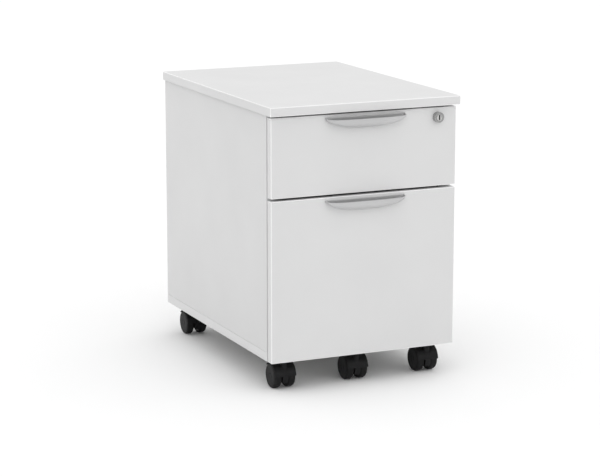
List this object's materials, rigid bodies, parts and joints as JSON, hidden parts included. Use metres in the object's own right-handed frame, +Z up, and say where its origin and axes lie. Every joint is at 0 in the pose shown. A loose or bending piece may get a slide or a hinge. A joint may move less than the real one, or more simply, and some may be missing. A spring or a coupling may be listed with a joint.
{
  "type": "rolling pedestal cabinet",
  "caption": "Boarded under-desk pedestal with a box drawer over a file drawer on slides, shell pulls, a locking bar and swivelling twin-wheel casters.",
  "frame": {"origin": "on the floor, under the middle of the whole object", "axes": "+X to the right as seen from the front, -Y to the front where the drawers pull out, +Z up"},
  "size_m": [0.41, 0.586, 0.569],
  "materials": {
    "white_board": "white melamine board, satin, fine orange peel",
    "drawer_board": "white foil drawer board, satin",
    "zinc_steel": "bright zinc plate",
    "nickel": "satin nickel plate",
    "satin_silver": "satin silver",
    "black_nylon": "moulded nylon, low sheen"
  },
  "bodies": {
    "root": {"top_panel": "white_board", "bottom_panel": "white_board", "side_panel_left": "white_board", "side_panel_right": "white_board", "back_panel": "white_board", "box_drawer_slide_case_left": "zinc_steel", "box_drawer_slide_case_right": "zinc_steel", "file_drawer_slide_case_left": "zinc_steel", "file_drawer_slide_case_right": "zinc_steel", "front_left_caster_plate": "zinc_steel", "front_right_caster_plate": "zinc_steel", "rear_left_caster_plate": "zinc_steel", "rear_right_caster_plate": "zinc_steel"},
    "box_drawer": {"box_drawer_front": "white_board", "box_drawer_pull": "satin_silver", "box_drawer_side_left": "drawer_board", "box_drawer_side_right": "drawer_board", "box_drawer_back": "drawer_board", "box_drawer_bottom": "drawer_board", "box_drawer_slide_drawer_left": "zinc_steel", "box_drawer_slide_drawer_right": "zinc_steel", "box_drawer_catch": "zinc_steel", "lock_barrel": "nickel"},
    "lock_plug": {"lock_plug": "nickel", "lock_cam": "zinc_steel"},
    "lock_bar": {"lock_bar": "zinc_steel"},
    "file_drawer": {"file_drawer_front": "white_board", "file_drawer_pull": "satin_silver", "file_drawer_side_left": "drawer_board", "file_drawer_side_right": "drawer_board", "file_drawer_back": "drawer_board", "file_drawer_bottom": "drawer_board", "file_drawer_slide_drawer_left": "zinc_steel", "file_drawer_slide_drawer_right": "zinc_steel", "file_drawer_catch": "zinc_steel", "file_rail_left": "zinc_steel", "file_rail_right": "zinc_steel", "anti_tip_caster_bracket": "zinc_steel"},
    "file_slide_middle": {"file_drawer_slide_middle_left": "zinc_steel", "file_drawer_slide_middle_right": "zinc_steel"},
    "front_left_caster_fork": {"front_left_caster_hood": "black_nylon", "front_left_caster_axle": "zinc_steel"},
    "front_left_caster_roller_left": {"front_left_caster_wheel_left": "black_nylon"},
    "front_left_caster_roller_right": {"front_left_caster_wheel_right": "black_nylon"},
    "front_right_caster_fork": {"front_right_caster_hood": "black_nylon", "front_right_caster_axle": "zinc_steel"},
    "front_right_caster_roller_left": {"front_right_caster_wheel_left": "black_nylon"},
    "front_right_caster_roller_right": {"front_right_caster_wheel_right": "black_nylon"},
    "rear_left_caster_fork": {"rear_left_caster_hood": "black_nylon", "rear_left_caster_axle": "zinc_steel"},
    "rear_left_caster_roller_left": {"rear_left_caster_wheel_left": "black_nylon"},
    "rear_left_caster_roller_right": {"rear_left_caster_wheel_right": "black_nylon"},
    "rear_right_caster_fork": {"rear_right_caster_hood": "black_nylon", "rear_right_caster_axle": "zinc_steel"},
    "rear_right_caster_roller_left": {"rear_right_caster_wheel_left": "black_nylon"},
    "rear_right_caster_roller_right": {"rear_right_caster_wheel_right": "black_nylon"},
    "anti_tip_caster_fork": {"anti_tip_caster_hood": "black_nylon", "anti_tip_caster_axle": "zinc_steel"},
    "anti_tip_caster_roller_left": {"anti_tip_caster_wheel_left": "black_nylon"},
    "anti_tip_caster_roller_right": {"anti_tip_caster_wheel_right": "black_nylon"}
  },
  "joints": [
    {"name": "box_drawer_slide", "type": "slide", "parent": "root", "child": "box_drawer", "axis": [0, -1, 0], "range_m": [0, 0.35]},
    {"name": "file_drawer_slide", "type": "slide", "parent": "root", "child": "file_drawer", "axis": [0, -1, 0], "range_m": [0, 0.45]},
    {"name": "file_slide_middle_slide", "type": "slide", "parent": "root", "child": "file_slide_middle", "axis": [0, -1, 0], "range_m": [0, 0.225]},
    {"name": "lock_turn", "type": "hinge", "parent": "box_drawer", "child": "lock_plug", "pos_m": [0.158, -0.273, 0.528], "axis": [0, 1, 0], "range_deg": [0, 90]},
    {"name": "lock_bar_lift", "type": "slide", "parent": "root", "child": "lock_bar", "axis": [0, 0, 1], "range_m": [0, 0.01]},
    {"name": "front_left_caster_swivel", "type": "hinge", "parent": "root", "child": "front_left_caster_fork", "pos_m": [-0.158, -0.237, 0.0603], "axis": [0, 0, 1], "continuous": true},
    {"name": "front_left_caster_roll_left", "type": "hinge", "parent": "front_left_caster_fork", "child": "front_left_caster_roller_left", "pos_m": [-0.158, -0.221, 0.025], "axis": [1, 0, 0], "continuous": true},
    {"name": "front_left_caster_roll_right", "type": "hinge", "parent": "front_left_caster_fork", "child": "front_left_caster_roller_right", "pos_m": [-0.158, -0.221, 0.025], "axis": [1, 0, 0], "continuous": true},
    {"name": "front_right_caster_swivel", "type": "hinge", "parent": "root", "child": "front_right_caster_fork", "pos_m": [0.158, -0.237, 0.0603], "axis": [0, 0, 1], "continuous": true},
    {"name": "front_right_caster_roll_left", "type": "hinge", "parent": "front_right_caster_fork", "child": "front_right_caster_roller_left", "pos_m": [0.158, -0.221, 0.025], "axis": [1, 0, 0], "continuous": true},
    {"name": "front_right_caster_roll_right", "type": "hinge", "parent": "front_right_caster_fork", "child": "front_right_caster_roller_right", "pos_m": [0.158, -0.221, 0.025], "axis": [1, 0, 0], "continuous": true},
    {"name": "rear_left_caster_swivel", "type": "hinge", "parent": "root", "child": "rear_left_caster_fork", "pos_m": [-0.158, 0.234, 0.0603], "axis": [0, 0, 1], "continuous": true},
    {"name": "rear_left_caster_roll_left", "type": "hinge", "parent": "rear_left_caster_fork", "child": "rear_left_caster_roller_left", "pos_m": [-0.158, 0.25, 0.025], "axis": [1, 0, 0], "continuous": true},
    {"name": "rear_left_caster_roll_right", "type": "hinge", "parent": "rear_left_caster_fork", "child": "rear_left_caster_roller_right", "pos_m": [-0.158, 0.25, 0.025], "axis": [1, 0, 0], "continuous": true},
    {"name": "rear_right_caster_swivel", "type": "hinge", "parent": "root", "child": "rear_right_caster_fork", "pos_m": [0.158, 0.234, 0.0603], "axis": [0, 0, 1], "continuous": true},
    {"name": "rear_right_caster_roll_left", "type": "hinge", "parent": "rear_right_caster_fork", "child": "rear_right_caster_roller_left", "pos_m": [0.158, 0.25, 0.025], "axis": [1, 0, 0], "continuous": true},
    {"name": "rear_right_caster_roll_right", "type": "hinge", "parent": "rear_right_caster_fork", "child": "rear_right_caster_roller_right", "pos_m": [0.158, 0.25, 0.025], "axis": [1, 0, 0], "continuous": true},
    {"name": "anti_tip_caster_swivel", "type": "hinge", "parent": "file_drawer", "child": "anti_tip_caster_fork", "pos_m": [0, -0.237, 0.0603], "axis": [0, 0, 1], "continuous": true},
    {"name": "anti_tip_caster_roll_left", "type": "hinge", "parent": "anti_tip_caster_fork", "child": "anti_tip_caster_roller_left", "pos_m": [0, -0.221, 0.025], "axis": [1, 0, 0], "continuous": true},
    {"name": "anti_tip_caster_roll_right", "type": "hinge", "parent": "anti_tip_caster_fork", "child": "anti_tip_caster_roller_right", "pos_m": [0, -0.221, 0.025], "axis": [1, 0, 0], "continuous": true}
  ],
  "couplings": [
    {"joint": "file_slide_middle_slide", "follows": "file_drawer_slide", "ratio": 0.5},
    {"joint": "lock_turn", "follows": "lock_bar_lift", "rad_per_m": 157.08}
  ]
}
